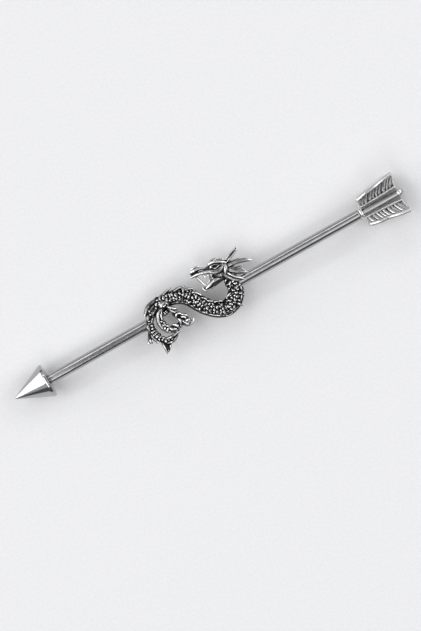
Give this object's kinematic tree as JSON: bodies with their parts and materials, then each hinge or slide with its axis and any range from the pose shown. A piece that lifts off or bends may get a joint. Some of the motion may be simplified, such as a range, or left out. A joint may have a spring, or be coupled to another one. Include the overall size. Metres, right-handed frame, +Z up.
{
  "type": "industrial barbell with an arrowhead, a dragon centre and an arrow tail",
  "caption": "Straight steel ear bar with a cast dragon in the middle, a screw-on arrowhead at one end and a screw-on feathered arrow tail at the other.",
  "frame": {"origin": "middle of the piece in plan, on the surface it lies on", "axes": "+X along the bar towards the arrow tail, +Y across the bar towards the dragon's snout, +Z up out of the dragon's face"},
  "size_m": [0.0484, 0.0071, 0.005],
  "materials": {
    "polished_steel": "mirror polished surgical steel",
    "antiqued_silver": "cast, plated and blackened in the recesses, bright on the raised edges"
  },
  "bodies": {
    "bar": {"dragon_bar": "antiqued_silver"},
    "arrowhead": {"arrowhead": "polished_steel"},
    "arrow_tail": {"arrow_tail": "antiqued_silver"}
  },
  "joints": [
    {"name": "arrowhead_unscrew", "type": "slide", "parent": "bar", "child": "arrowhead", "axis": [-0.9999, 0, -0.0134], "range_m": [0, 0.012]},
    {"name": "arrow_tail_unscrew", "type": "slide", "parent": "bar", "child": "arrow_tail", "axis": [0.9999, 0, 0.0134], "range_m": [0, 0.012]}
  ]
}
